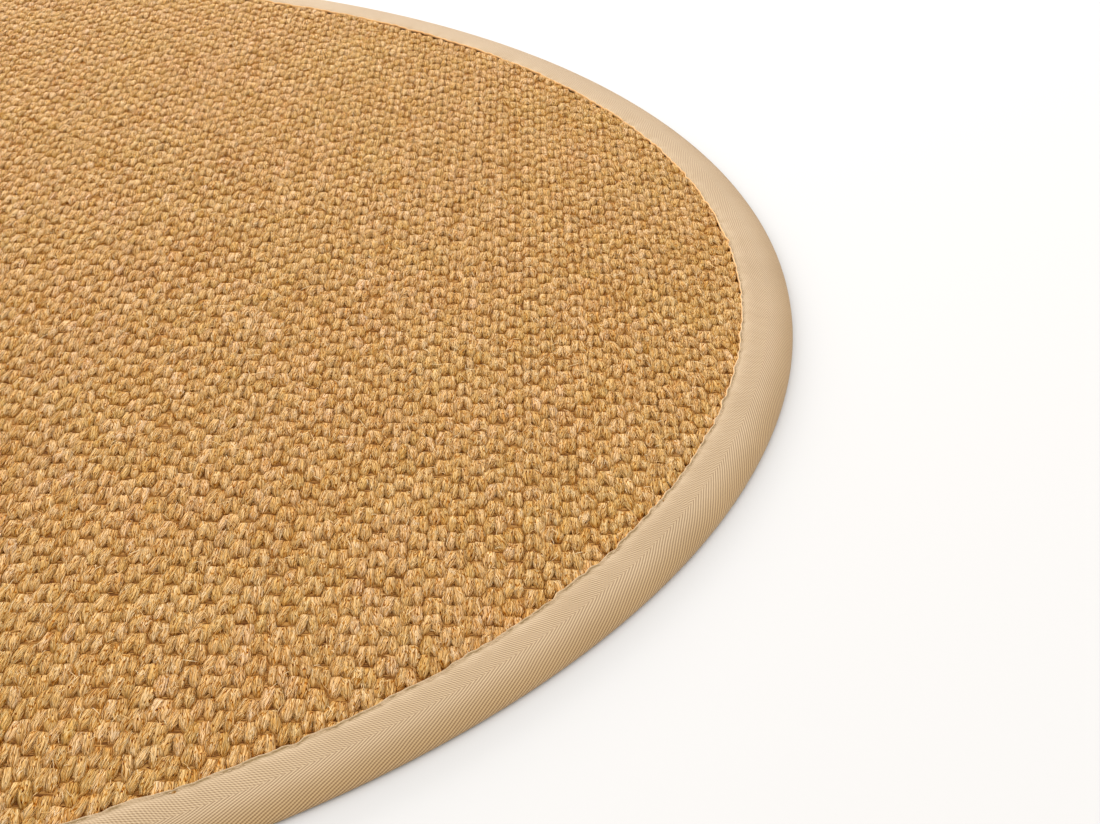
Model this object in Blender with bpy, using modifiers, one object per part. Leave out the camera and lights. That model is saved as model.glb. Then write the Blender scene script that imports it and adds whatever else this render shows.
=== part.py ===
"""Round sisal rug: a flat disc of woven sisal whose cut rim is wrapped in a folded cotton tape.

Metres, +Z up. The origin is the centre of the underside, which lies on the floor at Z = 0,
and the columns of the weave run along Y.
"""

import math

import bpy

# Driving dimensions, in metres
RUG_RADIUS = 0.600  # to the outside of the tape
RUG_HEIGHT = 0.009  # from the floor to the tops of the weave
TAPE_COVER = 0.034  # how far the tape reaches in from the rim, above and below
TAPE_THICKNESS = 0.0012
TAPE_CROWN = 0.0004  # swell of the tape's top between its sewn edge and its nose
NOSE_RADIUS = 0.0043  # the half circle in which the tape turns round the rim
CLEARANCE = 0.0003  # between the tape and the weave inside it

TAPE_EDGE_RADIUS = RUG_RADIUS - TAPE_COVER  # the two sewn edges of the tape

# How finely the round shapes are stepped
TURN_STEPS = 96
NOSE_STEPS = 8
CROWN_STEPS = 4
MERGE_DISTANCE = 0.00001  # closes the field's section on the axis

# Colours (linear red, green, blue) and finish of the two cloths
SISAL_COLOUR = (0.62, 0.36, 0.14)
SISAL_ROUGHNESS = 0.85
TAPE_COLOUR = (0.66, 0.47, 0.28)
TAPE_ROUGHNESS = 0.9


def clear_scene():
    """Removes whatever the file holds, so that the part stands alone."""
    for item in list(bpy.data.objects):
        bpy.data.objects.remove(item)


def part_collection():
    """The collection that holds the rug's pieces."""
    collection = bpy.data.collections.new("round_sisal_rug")
    bpy.context.scene.collection.children.link(collection)
    return collection


def cloth_material(name, colour, roughness):
    """A plain matt cloth finish."""
    material = bpy.data.materials.new(name)
    material.use_nodes = True
    shader = material.node_tree.nodes["Principled BSDF"]
    shader.inputs["Base Color"].default_value = (*colour, 1.0)
    shader.inputs["Roughness"].default_value = roughness
    shader.inputs["Metallic"].default_value = 0.0
    return material


def tape_line(inset):
    """The (radius, height) line that lies inset from the tape's outer face.

    It runs from the upper sewn edge, over the crowned top, round the nose and back to the lower edge.
    """
    nose_centre = RUG_RADIUS - NOSE_RADIUS
    line = []
    for step in range(CROWN_STEPS):
        share = step / CROWN_STEPS
        radius = TAPE_EDGE_RADIUS + share * (nose_centre - TAPE_EDGE_RADIUS)
        swell = TAPE_CROWN * math.sin(math.pi * share)
        line.append((radius, 2 * NOSE_RADIUS + swell - inset))
    reach = NOSE_RADIUS - inset
    for step in range(NOSE_STEPS + 1):
        turn = math.pi * (0.5 - step / NOSE_STEPS)
        line.append((nose_centre + reach * math.cos(turn), NOSE_RADIUS + reach * math.sin(turn)))
    line.append((TAPE_EDGE_RADIUS, inset))
    return line


def field_section():
    """The section of the woven disc: full height inside the tape, pressed thinner where the tape grips it."""
    step_radius = TAPE_EDGE_RADIUS - CLEARANCE
    gripped = tape_line(TAPE_THICKNESS + CLEARANCE)
    upper_height = gripped[0][1]
    lower_height = gripped[-1][1]
    return [
        (0.0, RUG_HEIGHT),
        (step_radius, RUG_HEIGHT),
        (step_radius, upper_height),
        *gripped[1:-1],
        (step_radius, lower_height),
        (step_radius, 0.0),
        (0.0, 0.0),
    ]


def turned_object(name, section, material, collection):
    """An object whose section, drawn at +X and running down its outer side, is turned about Z."""
    points = [(radius, 0.0, height) for radius, height in section]
    edges = [(index, index + 1) for index in range(len(points) - 1)]
    mesh = bpy.data.meshes.new(name)
    mesh.from_pydata(points, edges, [])
    mesh.materials.append(material)
    item = bpy.data.objects.new(name, mesh)
    collection.objects.link(item)
    screw = item.modifiers.new("turn", "SCREW")
    screw.axis = "Z"
    screw.angle = 2 * math.pi
    screw.steps = TURN_STEPS
    screw.render_steps = TURN_STEPS
    screw.use_merge_vertices = True
    screw.merge_threshold = MERGE_DISTANCE
    screw.use_smooth_shade = True
    return item


def build_field(collection):
    """The disc of woven sisal."""
    material = cloth_material("sisal_cloth", SISAL_COLOUR, SISAL_ROUGHNESS)
    return turned_object("sisal_field", field_section(), material, collection)


def build_binding(collection):
    """The cotton tape, folded over the rim from the top of the field to its underside."""
    material = cloth_material("cotton_tape", TAPE_COLOUR, TAPE_ROUGHNESS)
    tape = turned_object("binding_tape", tape_line(0.0), material, collection)
    wall = tape.modifiers.new("cloth_thickness", "SOLIDIFY")
    wall.thickness = TAPE_THICKNESS
    wall.offset = -1.0
    wall.use_even_offset = True
    return tape


def build_rug():
    """The whole rug, at rest on the floor."""
    clear_scene()
    collection = part_collection()
    build_field(collection)
    build_binding(collection)


build_rug()
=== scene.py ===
# %% [markdown]
# # A round sisal rug with a taped rim
# The rug is one disc of coarse woven sisal. Its cut rim would fray, so a cotton tape is folded over it
# and sewn through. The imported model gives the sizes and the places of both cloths, and it stays as it
# is: this lesson builds what the eye sees around it, which is thousands of small humps of yarn, a
# wrinkled tape with its herringbone, the stitches and the loose fibres.

# %% Load the frame
import math

import bmesh
import bpy
import numpy as np
from mathutils import Matrix, Vector


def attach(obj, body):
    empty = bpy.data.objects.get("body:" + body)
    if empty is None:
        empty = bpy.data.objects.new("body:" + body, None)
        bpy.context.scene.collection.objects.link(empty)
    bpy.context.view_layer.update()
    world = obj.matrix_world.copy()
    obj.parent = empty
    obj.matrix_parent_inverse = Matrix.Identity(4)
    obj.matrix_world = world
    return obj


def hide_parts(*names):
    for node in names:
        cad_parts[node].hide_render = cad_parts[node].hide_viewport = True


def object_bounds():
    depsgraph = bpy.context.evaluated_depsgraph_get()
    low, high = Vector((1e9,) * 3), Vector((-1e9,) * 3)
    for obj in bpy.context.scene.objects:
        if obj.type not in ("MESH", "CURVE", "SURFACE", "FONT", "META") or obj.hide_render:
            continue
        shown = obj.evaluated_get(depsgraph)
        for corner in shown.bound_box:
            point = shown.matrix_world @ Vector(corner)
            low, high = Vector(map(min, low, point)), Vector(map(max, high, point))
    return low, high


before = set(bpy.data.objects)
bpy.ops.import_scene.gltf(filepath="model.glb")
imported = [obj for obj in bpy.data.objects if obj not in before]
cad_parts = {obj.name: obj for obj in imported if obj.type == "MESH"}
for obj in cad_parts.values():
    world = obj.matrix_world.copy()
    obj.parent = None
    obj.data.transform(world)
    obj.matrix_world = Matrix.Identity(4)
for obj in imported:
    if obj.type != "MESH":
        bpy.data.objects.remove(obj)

cad_low, cad_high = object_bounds()
print("frame box in millimetres:", [round(1000 * side) for side in cad_high - cad_low])

# %% [markdown]
# ## Sizes that everything else hangs on
# Only a few numbers drive the rug. The rim, the height and the tape's sewn edge are read from the solids,
# so the fine pieces fit them with no guessing. The weave is counted: a weaver's round rug of this cloth is
# about 119 columns across, and a hump of yarn is one and a half columns long. No cloth lies quite square,
# so the rows and the columns each have a small slant, and the weave starts a little off the middle.

# %% Read the driving sizes
def distance_from_middle(node):
    """How far each vertex of a solid lies from the rug's axis."""
    return [math.hypot(vertex.co.x, vertex.co.y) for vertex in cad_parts[node].data.vertices]


RIM = cad_high.x
HEIGHT = cad_high.z
SEAM = min(distance_from_middle("binding_tape"))
CLOTH_EDGE = max(distance_from_middle("sisal_field"))
COLUMNS_ACROSS = 118.65
COLUMN = 2 * RIM / COLUMNS_ACROSS
HUMP_PITCH = 1.525 * COLUMN
COLUMN_SLANT = -0.0041
ROW_SLANT = 0.0076
COLUMN_START = -0.057 * COLUMN
ROW_START = 0.49 * HUMP_PITCH
chance = np.random.default_rng(20)
print(f"rim {1000 * RIM:.1f} mm, seam {1000 * SEAM:.1f} mm")
print(f"column {1000 * COLUMN:.2f} mm, hump {1000 * HUMP_PITCH:.2f} mm")

# %% [markdown]
# ## The point of view
# The camera comes first, because the other choices are judged through it. It stands low over the near
# right part of the rug and looks down along the columns, a little rolled, so only a part of the disc is
# seen. Its matrix is built from turns about its own axes, which is easier to reason about than Euler angles.

# %% Place the camera
CAMERA_PLACE = (0.4100, -1.0341, HEIGHT + 0.5303)
CAMERA_TURN = math.radians(-1.745)
CAMERA_TILT = math.radians(90 - 32.044)
CAMERA_ROLL = math.radians(1.984)
CAMERA_LENS = 55.47

camera_data = bpy.data.cameras.new("view")
camera_data.lens = CAMERA_LENS
camera_data.clip_start = 0.01
camera = bpy.data.objects.new("view", camera_data)
bpy.context.scene.collection.objects.link(camera)
camera.matrix_world = (
    Matrix.Translation(CAMERA_PLACE)
    @ Matrix.Rotation(CAMERA_TURN, 4, "Z")
    @ Matrix.Rotation(CAMERA_TILT, 4, "X")
    @ Matrix.Rotation(CAMERA_ROLL, 4, "Z")
)
bpy.context.scene.camera = camera
bpy.context.scene.view_settings.view_transform = "Standard"
print("camera at", [round(part, 3) for part in camera.matrix_world.translation])

# %% [markdown]
# ## Small helpers for meshes
# A finished bmesh becomes an object at the origin. Repeated things, such as humps and stitches, are made
# another way: one small prototype is modelled with bmesh operators, its corners are copied with numpy as
# often as needed, and the copies are joined in one mesh. A thousand separate objects would be far slower.

# %% Define the mesh helpers
def link_piece(name, mesh, material):
    """A new object for a finished mesh, at the origin, riding on the rug."""
    mesh.materials.append(material)
    piece = bpy.data.objects.new(name, mesh)
    bpy.context.scene.collection.objects.link(piece)
    mesh.shade_smooth()
    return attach(piece, "root")


def prototype_arrays(shape):
    """The corners of a small bmesh, and its faces as lists of corner numbers."""
    shape.verts.ensure_lookup_table()
    corners = np.array([vertex.co for vertex in shape.verts])
    faces = [[vertex.index for vertex in face.verts] for face in shape.faces]
    shape.free()
    return corners, faces


def joined_mesh(name, places, faces, uvs=None, tints=None):
    """One mesh of many copies. places is copies x corners x 3, and faces are those of one copy.

    uvs is copies x corner-of-face x 2, and tints is copies x 4, a colour that each copy keeps.
    """
    copies, corners, _ = places.shape
    sizes = np.array([len(face) for face in faces])
    loops = np.concatenate([np.array(face) for face in faces])
    all_loops = (loops[None, :] + corners * np.arange(copies)[:, None]).ravel()
    all_sizes = np.tile(sizes, copies)
    mesh = bpy.data.meshes.new(name)
    mesh.vertices.add(copies * corners)
    mesh.vertices.foreach_set("co", places.astype(np.float32).ravel())
    mesh.loops.add(len(all_loops))
    mesh.loops.foreach_set("vertex_index", all_loops.astype(np.int32))
    mesh.polygons.add(len(all_sizes))
    mesh.polygons.foreach_set("loop_start", (np.cumsum(all_sizes) - all_sizes).astype(np.int32))
    mesh.update(calc_edges=True)
    if uvs is not None:
        layer = mesh.uv_layers.new(name="yarn")
        layer.data.foreach_set("uv", uvs.astype(np.float32).ravel())
    if tints is not None:
        layer = mesh.color_attributes.new("tint", "FLOAT_COLOR", "POINT")
        layer.data.foreach_set("color", np.repeat(tints, corners, axis=0).astype(np.float32).ravel())
    return mesh


# %% [markdown]
# ## Small helpers for materials
# Node trees get long, so a small class keeps them readable. Its first helper makes a node and links or
# sets its inputs, and the others are short ways to the few kinds of node that every finish here needs:
# arithmetic, fades, colour ramps, mixes, noise, and a grey that grows warmer as it darkens.

# %% Define the material helpers
class Finish:
    """A material under construction: its tree, its shader, and short ways to add nodes."""

    def __init__(self, name):
        self.material = bpy.data.materials.new(name)
        self.material.use_nodes = True
        self.tree = self.material.node_tree
        self.shader = self.tree.nodes["Principled BSDF"]

    def node(self, kind, inputs=None, **settings):
        """A node of this kind. Each input is a socket to link, or a value to set."""
        made = self.tree.nodes.new(kind)
        for key, value in settings.items():
            setattr(made, key, value)
        for key, value in (inputs or {}).items():
            if isinstance(value, bpy.types.NodeSocket):
                self.tree.links.new(value, made.inputs[key])
            else:
                made.inputs[key].default_value = value
        return made

    def math(self, operation, first, second=0.0, third=0.0):
        """The result of one Math node."""
        inputs = {0: first, 1: second, 2: third}
        return self.node("ShaderNodeMath", inputs, operation=operation).outputs[0]

    def fade(self, value, start, end, first=0.0, last=1.0):
        """Goes evenly from first to last while the value goes from start to end, and stays there."""
        inputs = {"Value": value, 1: start, 2: end, 3: first, 4: last}
        return self.node("ShaderNodeMapRange", inputs).outputs[0]

    def ramp(self, value, stops):
        """A colour ramp; stops are (position, colour or grey) pairs."""
        made = self.node("ShaderNodeValToRGB", {"Fac": value})
        elements = made.color_ramp.elements
        while len(elements) < len(stops):
            elements.new(1.0)
        for element, (position, colour) in zip(elements, stops):
            element.position = position
            red_green_blue = colour if isinstance(colour, tuple) else (colour, colour, colour)
            element.color = (*red_green_blue, 1.0)
        return made.outputs["Color"]

    def mix(self, factor, first, second, blend="MIX"):
        """A colour mix of this blend type."""
        made = self.node("ShaderNodeMix", data_type="RGBA", blend_type=blend)
        sockets = (made.inputs[0], made.inputs[6], made.inputs[7])
        for socket, value in zip(sockets, (factor, first, second)):
            if isinstance(value, bpy.types.NodeSocket):
                self.tree.links.new(value, socket)
            elif isinstance(value, tuple):
                socket.default_value = (*value, 1.0)
            else:
                socket.default_value = value
        return made.outputs[2]

    def tinted(self, colour, tint):
        """The colour multiplied by a tint, which is another colour."""
        return self.mix(1.0, colour, tint, "MULTIPLY")

    def warm(self, shade, powers):
        """A grey shade made warmer as it darkens: green and blue fall by these powers of it."""
        green, blue = powers
        shades = {0: shade, 1: self.math("POWER", shade, green), 2: self.math("POWER", shade, blue)}
        return self.node("ShaderNodeCombineColor", shades).outputs[0]

    def noise(self, vector, scale, detail=2.0, roughness=0.5):
        """A noise value read at a vector."""
        inputs = {"Vector": vector, "Scale": scale, "Detail": detail, "Roughness": roughness}
        return self.node("ShaderNodeTexNoise", inputs).outputs["Fac"]

    def wire(self, **sockets):
        """Links or sets the shader's own sockets, with _ in place of a space in their names."""
        for key, value in sockets.items():
            socket = self.shader.inputs[key.replace("_", " ")]
            if isinstance(value, bpy.types.NodeSocket):
                self.tree.links.new(value, socket)
            else:
                socket.default_value = value


# %% [markdown]
# ## Fibres as long thin cells
# Sisal yarn is a bundle of stiff leaf fibres, laid side by side with a lazy twist. A Voronoi pattern that
# is stretched along the yarn makes long thin cells, and each cell is one fibre: its random colour decides
# whether it is straw, honey or brown, and the distance to its edge makes the dark slit beside it.
# Stretched noise would be simpler, but noise has no edges, and a fibre has two.

# %% Define the fibre pattern
SEED_SHIFT = 97.0


def fibre_cells(finish, along, across, seed, length, width):
    """Long thin cells: their random colour, and how far a point is from the slit beside it (0 to 1)."""
    shift = finish.math("MULTIPLY", seed, SEED_SHIFT)
    lengthwise = finish.math("MULTIPLY_ADD", along, 1 / length, shift)
    crosswise = finish.math("MULTIPLY_ADD", across, 1 / width, shift)
    place = finish.node("ShaderNodeCombineXYZ", {"X": lengthwise, "Y": crosswise}).outputs[0]
    pattern = {"Vector": place, "Scale": 1.0}
    cell = finish.node("ShaderNodeTexVoronoi", pattern, voronoi_dimensions="2D")
    slit = finish.node("ShaderNodeTexVoronoi", pattern, voronoi_dimensions="2D", feature="DISTANCE_TO_EDGE")
    chance_of_cell = finish.node("ShaderNodeSeparateColor", {"Color": cell.outputs["Color"]}).outputs
    return chance_of_cell, slit.outputs["Distance"]


print(f"a yarn's seed moves its slice of the pattern by up to {SEED_SHIFT:.0f} cells")

# %% [markdown]
# ## Loose hairs on the yarn
# Some fibres don't follow the others. They lie aslant on top of the yarn, pale because nothing shades
# them. They come from the same pattern, leaned to one side and then to the other, of which only the few
# cells with a high random value are kept, and of each cell only its middle.

# %% Define the loose hairs
HAIR_LENGTH = 0.0060
HAIR_WIDTH = 0.0011
HAIR_SLANT = 0.45
HAIR_SHARE = 0.86
HAIR_EDGE = (0.18, 0.34)


def loose_hairs(finish, along, across, seed):
    """One on a hair, and nothing beside it."""
    hairs = []
    for lean in (-HAIR_SLANT, HAIR_SLANT):
        aslant = finish.math("MULTIPLY_ADD", along, lean, across)
        hair, hair_slit = fibre_cells(finish, along, aslant, seed, HAIR_LENGTH, HAIR_WIDTH)
        lies_here = finish.math("GREATER_THAN", hair["Blue"], HAIR_SHARE)
        hairs.append(finish.math("MULTIPLY", lies_here, finish.fade(hair_slit, *HAIR_EDGE)))
    return finish.math("MAXIMUM", *hairs)


print("loose hairs lean", round(math.degrees(math.atan(HAIR_SLANT))), "degrees to both sides")

# %% [markdown]
# ## The colours and shades of sisal
# The colour of a point is its fibre's straw, made warmer or cooler in wide patches, as leaves from one
# field are. Painted shade darkens it in two places: the slits between fibres and between locks, which are
# fibres that cling together, and the foot of the hump, where little light comes. Light that has bounced
# between fibres is warmer each time, so the painted shade takes out blue first and green next, and never
# turns grey.

# %% Define the colours and shades
STRAW_COLOURS = [
    (0.06, (0.61, 0.300, 0.080)),
    (0.28, (0.75, 0.437, 0.155)),
    (0.50, (0.80, 0.495, 0.212)),
    (0.78, (0.82, 0.530, 0.255)),
    (0.95, (0.85, 0.60, 0.34)),
]
FIBRE_SHARE = 0.75
HAIR_PALENESS = 0.92
PATCH_SCALE = 9.0
PATCH_TINTS = ((0.99, 1.01, 0.91), (1.0, 0.95, 0.96))
# Painted shade in the slits between fibres and between locks:
PARTED_SHARE = 0.66
SLIT_DEPTH = 1.0
SLIT_WIDTH = 0.20
LOCK_DARK = 0.4
LOCK_SLIT_WIDTH = 0.08
SLIT_WARMTH = (1.7, 3.6)
# Painted shade at the foot of the hump:
FOOT_SHADE = 0.64
FOOT_WARMTH = (2.4, 5.2)
SHADE_FOOT = 0.0056
SHADE_TOP = 0.0079


def straw_colour(finish, place, lightness, fibre, lock, loose):
    """Each fibre's own straw, honey or brown, in warmer and cooler patches."""
    from_lock = finish.math("MULTIPLY", lock["Red"], 1 - FIBRE_SHARE)
    paleness = finish.math("MULTIPLY_ADD", fibre["Red"], FIBRE_SHARE, from_lock)
    paleness = finish.math("MAXIMUM", paleness, finish.math("MULTIPLY", loose, HAIR_PALENESS))
    patches = finish.noise(place, PATCH_SCALE, 3.0)
    warmth = finish.math("MULTIPLY_ADD", patches, 1.6, finish.math("MULTIPLY_ADD", lightness, 0.8, -0.8))
    return finish.tinted(finish.ramp(paleness, STRAW_COLOURS), finish.mix(warmth, *PATCH_TINTS))


def painted_slit_shade(finish, lightness, fibre, fibre_slit, lock_slit, loose):
    """Painted shade, a grey from 0 to 1: dark in the slits, but not under a loose hair, and lighter on some
    yarns.
    """
    parted = finish.math("GREATER_THAN", fibre["Blue"], PARTED_SHARE)
    fibre_gap = finish.fade(fibre_slit, 0.0, SLIT_WIDTH, 1.0, 0.0)
    fibre_dark = finish.math("MULTIPLY_ADD", finish.math("MULTIPLY", fibre_gap, parted), -SLIT_DEPTH, 1.0)
    lock_dark = finish.fade(lock_slit, 0.0, LOCK_SLIT_WIDTH, LOCK_DARK, 1.0)
    slits = finish.math("MULTIPLY", fibre_dark, lock_dark)
    bright = finish.math("MULTIPLY_ADD", lightness, 0.16, 0.92)
    return finish.math("MULTIPLY", bright, finish.math("MAXIMUM", slits, loose))


def painted_foot_shade(finish, place):
    """Painted shade: a grey that grows darker from the top of the humps down to their foot."""
    height = finish.node("ShaderNodeSeparateXYZ", {"Vector": place}).outputs["Z"]
    return finish.fade(height, SHADE_FOOT, SHADE_TOP, FOOT_SHADE, 1.0)


print(len(STRAW_COLOURS), "straw colours, shaded up to", round(1000 * SHADE_TOP, 1), "mm")

# %% [markdown]
# ## The sisal finish
# Now the parts come together. Every pattern follows the yarn's own UV map, so it bends as the yarn bends,
# and the yarn's tint gives it its own slice of the pattern, its lightness and its twist. The same slits
# and fibres drive a fine bump, so the relief and the colour always agree.

# %% Make the sisal finish
FIBRE_LENGTH = 0.0075
FIBRE_WIDTH = 0.00065
FIBRE_BEND = 0.0016
BEND_SCALE = 160.0
LOCK_LENGTH = 0.0160
LOCK_WIDTH = 0.0016
LOCK_SLANT = 0.08
RELIEF_HEIGHT = 0.00038


def sisal_finish(name):
    """Streaky leaf fibre, from the yarn's UV map and its tint."""
    finish = Finish(name)
    uv = finish.node("ShaderNodeUVMap", uv_map="yarn").outputs["UV"]
    tint = finish.node("ShaderNodeAttribute", attribute_name="tint")
    own = finish.node("ShaderNodeSeparateColor", {"Color": tint.outputs["Color"]}).outputs
    place = finish.node("ShaderNodeTexCoord").outputs["Object"]
    axis = finish.node("ShaderNodeSeparateXYZ", {"Vector": uv}).outputs
    along = axis["X"]

    bend = finish.math("SUBTRACT", finish.noise(place, BEND_SCALE, 1.0), 0.5)
    twisted = finish.math("MULTIPLY_ADD", along, own["Blue"], axis["Y"])
    across = finish.math("MULTIPLY_ADD", bend, FIBRE_BEND, twisted)
    crossing = finish.math("MULTIPLY_ADD", along, LOCK_SLANT, across)
    fibre, fibre_slit = fibre_cells(finish, along, across, own["Red"], FIBRE_LENGTH, FIBRE_WIDTH)
    lock, lock_slit = fibre_cells(finish, along, crossing, own["Red"], LOCK_LENGTH, LOCK_WIDTH)
    loose = loose_hairs(finish, along, across, own["Red"])

    colour = straw_colour(finish, place, own["Green"], fibre, lock, loose)
    shade = painted_slit_shade(finish, own["Green"], fibre, fibre_slit, lock_slit, loose)
    # Painted shade in the slits between fibres and between locks.
    colour = finish.tinted(colour, finish.warm(shade, SLIT_WARMTH))
    # Painted shade at the foot of the hump, warmer as it darkens.
    colour = finish.tinted(colour, finish.warm(painted_foot_shade(finish, place), FOOT_WARMTH))

    round_fibre = finish.fade(fibre_slit, 0.0, 0.35)
    round_lock = finish.fade(lock_slit, 0.0, 0.30, 0.0, 2.2)
    relief = finish.math("MULTIPLY_ADD", fibre["Green"], 1.2, finish.math("ADD", round_fibre, round_lock))
    relief = finish.math("MULTIPLY_ADD", loose, 1.5, relief)
    bump = finish.node("ShaderNodeBump", {"Height": relief, "Strength": 1.0, "Distance": RELIEF_HEIGHT})
    finish.wire(Base_Color=colour, Roughness=0.6, Specular_IOR_Level=0.02, Normal=bump.outputs[0])
    return finish.material


sisal = sisal_finish("sisal_fibre")
print("made", sisal.name, "with", len(sisal.node_tree.nodes), "nodes")

# %% [markdown]
# ## One hump of yarn
# Where a column's yarn passes over a cross yarn it stands up as a hump, high in its middle and falling
# away at both ends. A UV sphere of six sides and five bands is enough for one yarn of it, and more would
# only weigh, since there are thousands. Its poles are laid along the column, and later all six corners of
# a ring are moved to the upper half, because nobody sees the lower one.

# %% Model the hump prototype
HUMP_SIDES = 6
HUMP_BANDS = 5

hump_shape = bmesh.new()
bmesh.ops.create_uvsphere(hump_shape, u_segments=HUMP_SIDES, v_segments=HUMP_BANDS, radius=1.0)
bmesh.ops.rotate(hump_shape, verts=hump_shape.verts, matrix=Matrix.Rotation(math.radians(90), 3, "X"))
bmesh.ops.rotate(hump_shape, verts=hump_shape.verts, matrix=Matrix.Rotation(math.radians(30), 3, "Y"))
hump_corners, hump_faces = prototype_arrays(hump_shape)
print(f"one hump has {len(hump_corners)} corners and {len(hump_faces)} faces")

# %% [markdown]
# ## Where the humps stand
# The columns run from the near side to the far side. Neighbouring columns are half a hump apart, which
# gives the brick pattern. The rug is cut from a bigger cloth, so a plain grid of humps is laid over the
# whole square first, and then only those inside the tape's sewn edge are kept, with a few under the tape.

# %% Lay out the humps
TAPE_OVERLAP = 0.004


def hump_centres(reach):
    """The middle of every hump nearer than reach to the rug's middle, and its column number."""
    columns = np.arange(-math.ceil(reach / COLUMN), math.ceil(reach / COLUMN) + 1)
    rows = np.arange(-math.ceil(reach / HUMP_PITCH) - 1, math.ceil(reach / HUMP_PITCH) + 2)
    column, row = np.meshgrid(columns, rows, indexing="ij")
    rise = (row + 0.5 * (column % 2)) * HUMP_PITCH
    x = COLUMN_START + column * COLUMN + COLUMN_SLANT * rise
    y = ROW_START + rise + ROW_SLANT * column * COLUMN
    inside = np.hypot(x, y) < reach
    return np.stack([x[inside], y[inside]], axis=1), column[inside] - columns[0]


centres, hump_column = hump_centres(SEAM + TAPE_OVERLAP)
print(len(centres), "humps in", len(np.unique(hump_column)), "columns")

# %% [markdown]
# ## The yarns of every hump
# Each hump is two yarns side by side. Nothing in coarse sisal is exact: a column wanders, a hump is fat or
# lean, high or low, and the two yarns in it lie close or part. All of these are drawn once, from one seeded
# generator, and none goes beyond twice its spread, because one wild yarn would spoil the cloth.

# %% Draw the yarns' sizes and places
YARN_HALF_LENGTH = 0.65 * HUMP_PITCH
YARN_HALF_WIDTH = 0.39 * COLUMN
YARN_HALF_HEIGHT = 0.0028
YARN_PARTING = 0.21 * COLUMN
YARN_SPLAY = math.radians(5)
COLUMN_WANDER = 0.00010
HUMP_TURN = math.radians(2.4)
HUMP_ASIDE = 0.00016
HUMP_AHEAD = 0.00050
HUMP_RISE = 0.00014
WIDTH_SPREAD = 0.05
LENGTH_SPREAD = 0.04
YARN_WANDER = 0.00010
YARN_AHEAD = 0.00040
YARN_TURN = math.radians(2.5)
YARN_BOW = 0.00015


def wander(count, spread):
    """Random amounts about zero that never go beyond twice the spread."""
    return np.clip(chance.normal(0.0, spread, count), -2 * spread, 2 * spread)


def yarn_layout():
    """Sizes and place of every yarn: two for each hump, in the same order as the humps."""
    humps = len(centres)
    columns = hump_column.max() + 1
    column_shift = wander(columns, COLUMN_WANDER)[hump_column]
    column_rise = wander(columns, COLUMN_WANDER)[hump_column]
    turn = wander(humps, HUMP_TURN)
    aside = column_shift + wander(humps, HUMP_ASIDE)
    ahead = wander(humps, HUMP_AHEAD)
    rise = column_rise + wander(humps, HUMP_RISE)
    fatness = 1 + wander(humps, WIDTH_SPREAD)
    layout = []
    for side in (-1, 1):
        layout.append({
            "x": centres[:, 0] + aside + wander(humps, YARN_WANDER) + side * YARN_PARTING,
            "y": centres[:, 1] + ahead + wander(humps, YARN_AHEAD),
            "z": HEIGHT - YARN_HALF_HEIGHT + rise + wander(humps, YARN_WANDER),
            "width": YARN_HALF_WIDTH * fatness * (1 + wander(humps, WIDTH_SPREAD)),
            "length": YARN_HALF_LENGTH * (1 + wander(humps, LENGTH_SPREAD)),
            "turn": turn + wander(humps, YARN_TURN) + side * YARN_SPLAY,
            "bow": wander(humps, YARN_BOW),
            "side": np.full(humps, float(side)),
        })
    return {key: np.concatenate([half[key] for half in layout]) for key in layout[0]}


layout = yarn_layout()
print(len(layout["x"]), "yarns, each about", round(2000 * YARN_HALF_WIDTH, 1), "mm wide")

# %% [markdown]
# ## Shaping every yarn at once
# The prototype's corners are bent for all the yarns in one go: the ring number gives the place along the
# yarn, the corner's angle gives the place around it. The two ends differ. The near end is blunt: it stays
# high and full, then turns down steeply over the cross yarn. The far end sinks gently, because there the
# yarn dives under the next hump. A yarn of equal ends would look like a loaf laid on the cloth.

# %% Shape the yarns
SPHERE_ANGLES = [-60, 0, 60, 120, 180, 240]
YARN_ANGLES = [-12, 36, 68, 112, 144, 192]
SPHERE_RINGS = [-1, -0.81, -0.31, 0.31, 0.81, 1]
YARN_RINGS = [-1, -0.90, -0.50, 0.50, 0.90, 1]
NEAR_DROP = 0.0010
NEAR_POWER = 5.0
FAR_DROP = 0.0031
FAR_POWER = 1.8
NEAR_PLAN = 2.15
FAR_PLAN = 2.3
BARREL_POWER = 3.0
SQUARENESS = 0.85
LOWEST_CORNER = -0.75
FULL_OUTSIDE = 0.12
RIDGE = 0.08
LUMP = 0.07


def around_and_along(corners):
    """Each corner's angle around the yarn, on its upper half, and its place along it from -1 to 1."""
    angle = np.degrees(np.arctan2(corners[:, 2], corners[:, 0]))
    angle = np.where(angle < -91, angle + 360, angle)
    spread = np.interp(angle, SPHERE_ANGLES, YARN_ANGLES)
    along = np.interp(corners[:, 1], SPHERE_RINGS, YARN_RINGS)
    return np.radians(spread), along


def squarer(value):
    """A sine or a cosine made squarer, with its sign kept."""
    return np.sign(value) * np.abs(value) ** SQUARENESS


def end_drop(along):
    """How far a yarn has sunk at a place along it: steeply at its near end, gently at its far one."""
    reach = np.abs(along)
    return np.where(along < 0, NEAR_DROP * reach ** NEAR_POWER, FAR_DROP * reach ** FAR_POWER)


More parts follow.
